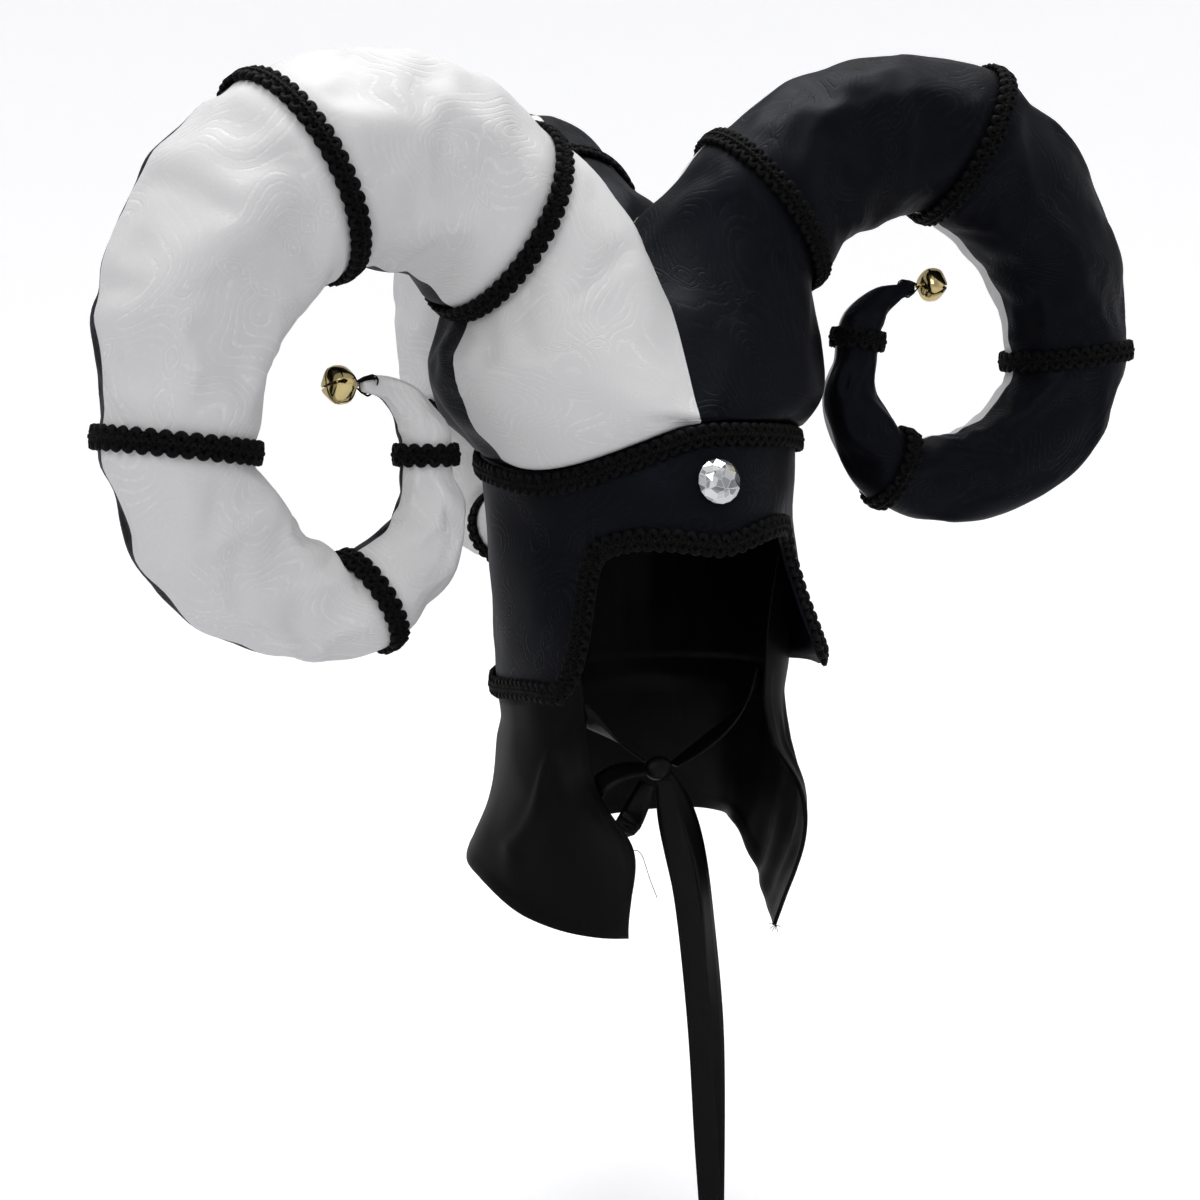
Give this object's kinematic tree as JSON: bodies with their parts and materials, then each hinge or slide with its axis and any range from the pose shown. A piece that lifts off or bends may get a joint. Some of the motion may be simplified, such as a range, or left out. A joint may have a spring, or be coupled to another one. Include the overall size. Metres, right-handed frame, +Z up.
{
  "type": "three-horned jester hood",
  "caption": "Jester hood with curled stuffed ram horns in white and black brocade, gimp braid, brass bells, a gem, ear flaps, a neck drape and a ribbon chin tie.",
  "frame": {"origin": "inside top of the crown lining, where the hood rests on the head", "axes": "+Z up, -Y towards the front of the wearer's face, +X towards the wearer's left"},
  "size_m": [0.5971, 0.4147, 0.6594],
  "materials": {
    "white_brocade": "satin jacquard, tone on tone paisley",
    "black_brocade": "satin jacquard, tone on tone paisley",
    "black_satin": "soft satin",
    "gimp_braid": "matt rayon braid",
    "satin_ribbon": "satin",
    "cotton_thread": "matt thread",
    "brass": "polished",
    "acrylic": "faceted, foil backed"
  },
  "bodies": {
    "root": {"hood_band": "black_brocade", "crown_lining": "black_satin", "right_horn_front": "white_brocade", "right_horn_back": "black_brocade", "right_horn_braid_1": "gimp_braid", "right_horn_braid_2": "gimp_braid", "right_horn_braid_3": "gimp_braid", "right_horn_braid_4": "gimp_braid", "right_horn_braid_5": "gimp_braid", "right_bell_loop": "cotton_thread", "right_bell": "brass", "left_horn_back": "white_brocade", "left_horn_front": "black_brocade", "left_horn_braid_1": "gimp_braid", "left_horn_braid_2": "gimp_braid", "left_horn_braid_3": "gimp_braid", "left_horn_braid_4": "gimp_braid", "left_horn_braid_5": "gimp_braid", "left_bell_loop": "cotton_thread", "left_bell": "brass", "back_horn_right": "white_brocade", "back_horn_left": "black_brocade", "back_horn_braid_1": "gimp_braid", "back_horn_braid_2": "gimp_braid", "back_horn_braid_3": "gimp_braid", "back_horn_braid_4": "gimp_braid", "back_horn_braid_5": "gimp_braid", "back_bell_loop": "cotton_thread", "back_bell": "brass", "crown_braid": "gimp_braid", "edge_braid": "gimp_braid", "gem": "acrylic", "neck_drape": "black_satin", "tie_knot": "satin_ribbon", "chin_strap_right": "satin_ribbon", "chin_strap_left": "satin_ribbon", "bow_loop": "satin_ribbon", "tie_tail_front": "satin_ribbon", "tie_tail_rear": "satin_ribbon"}
  },
  "joints": []
}
